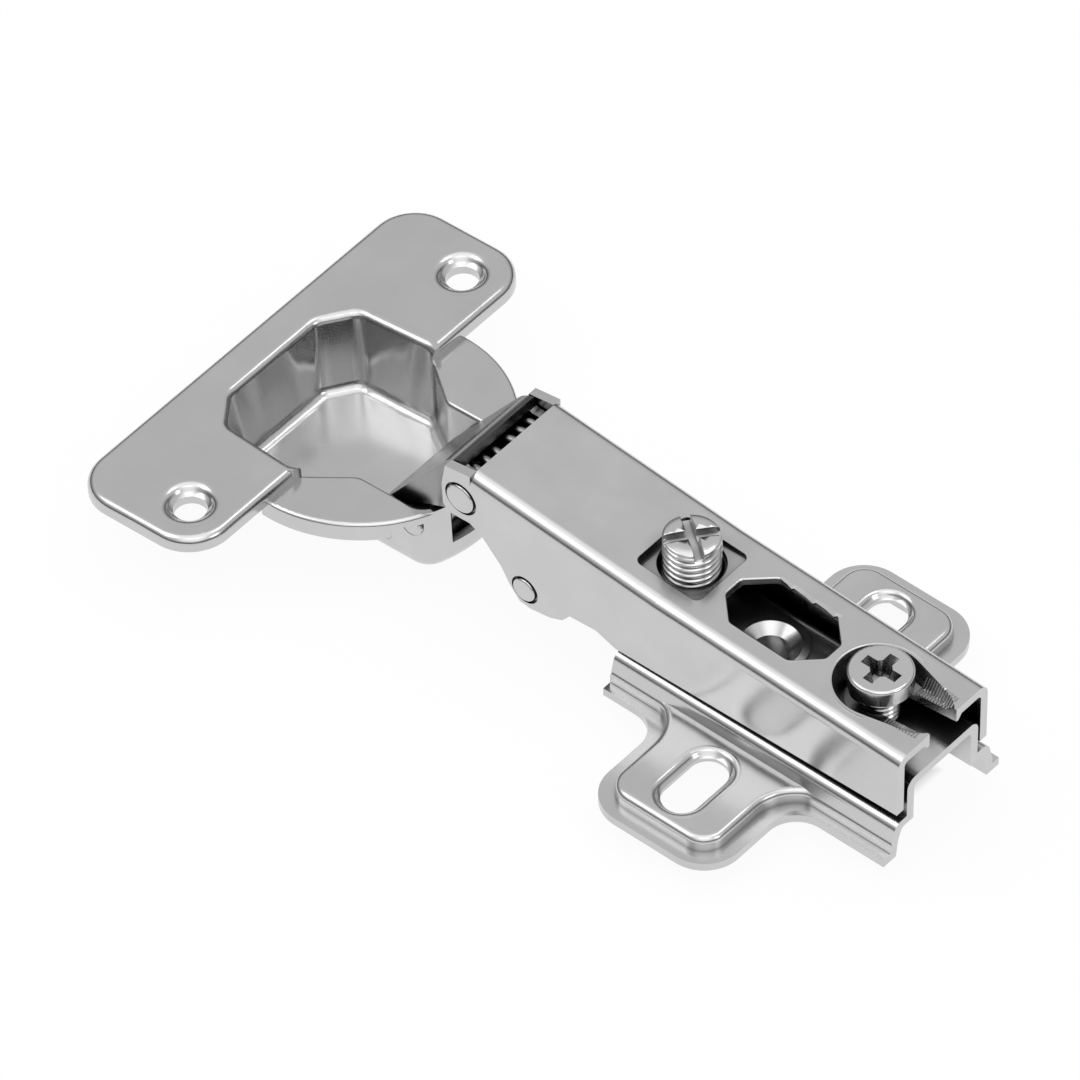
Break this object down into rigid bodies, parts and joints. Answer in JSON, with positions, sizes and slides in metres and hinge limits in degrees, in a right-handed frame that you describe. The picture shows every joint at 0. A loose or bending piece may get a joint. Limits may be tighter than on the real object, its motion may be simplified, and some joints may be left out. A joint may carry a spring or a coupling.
{
  "type": "concealed cup hinge",
  "caption": "Concealed cabinet hinge, shown open: flanged drill-in cup, folding link pair, channel arm with adjusting screws, and a winged plate that it slides on to.",
  "frame": {"origin": "centre of the row of two screw slots in the mounting plate, on the plate's underside", "axes": "+X along the arm from the cup to the arm's rear end, +Y across the hinge, +Z out of the cabinet wall that the plate is screwed to"},
  "size_m": [0.1043, 0.06, 0.0236],
  "materials": {
    "arm_steel": "nickel plated, satin, with fine drawing marks",
    "plate_steel": "nickel plated, satin",
    "cup_steel": "nickel plated, semi-bright, streaked by deep drawing inside",
    "link_steel": "nickel plated, semi-bright",
    "rivet_steel": "nickel plated, pressed",
    "screw_steel": "nickel plated, bright",
    "spring_steel": "nickel plated wire"
  },
  "bodies": {
    "plate": {"mounting_plate": "plate_steel"},
    "fixing_screw": {"fixing_screw": "screw_steel"},
    "arm": {"hinge_arm": "arm_steel", "front_rivet": "rivet_steel", "rear_rivet": "rivet_steel", "closing_spring": "spring_steel"},
    "side_adjust_screw": {"side_adjust_screw": "screw_steel"},
    "outer_link": {"outer_link": "link_steel"},
    "cup": {"hinge_cup": "cup_steel", "outer_cup_pin": "rivet_steel", "inner_cup_pin": "rivet_steel"},
    "inner_link": {"inner_link": "link_steel"}
  },
  "joints": [
    {"name": "depth_slide", "type": "slide", "parent": "plate", "child": "arm", "axis": [1, 0, 0], "range_m": [-0.004, 0.0015]},
    {"name": "fixing_screw_turn", "type": "hinge", "parent": "plate", "child": "fixing_screw", "pos_m": [0.0137, 0, 0.01], "axis": [0, 0, 1], "continuous": true},
    {"name": "side_adjust_turn", "type": "hinge", "parent": "arm", "child": "side_adjust_screw", "pos_m": [-0.0138, 0, 0.012], "axis": [0, 0, 1], "continuous": true},
    {"name": "outer_link_turn", "type": "hinge", "parent": "arm", "child": "outer_link", "pos_m": [-0.0414, 0, 0.0147], "axis": [0, 1, 0], "range_deg": [-25, 0]},
    {"name": "cup_fold", "type": "hinge", "parent": "outer_link", "child": "cup", "pos_m": [-0.05267, 0, 0.00247], "axis": [0, 1, 0], "range_deg": [0, 118.44]},
    {"name": "inner_link_turn", "type": "hinge", "parent": "cup", "child": "inner_link", "pos_m": [-0.04828, 0, 0.00599], "axis": [0, 1, 0], "range_deg": [-139.5, 0]}
  ],
  "couplings": [
    {"joint": "outer_link_turn", "follows": "cup_fold", "ratio": -0.21055},
    {"joint": "inner_link_turn", "follows": "cup_fold", "ratio": -1.1773}
  ]
}
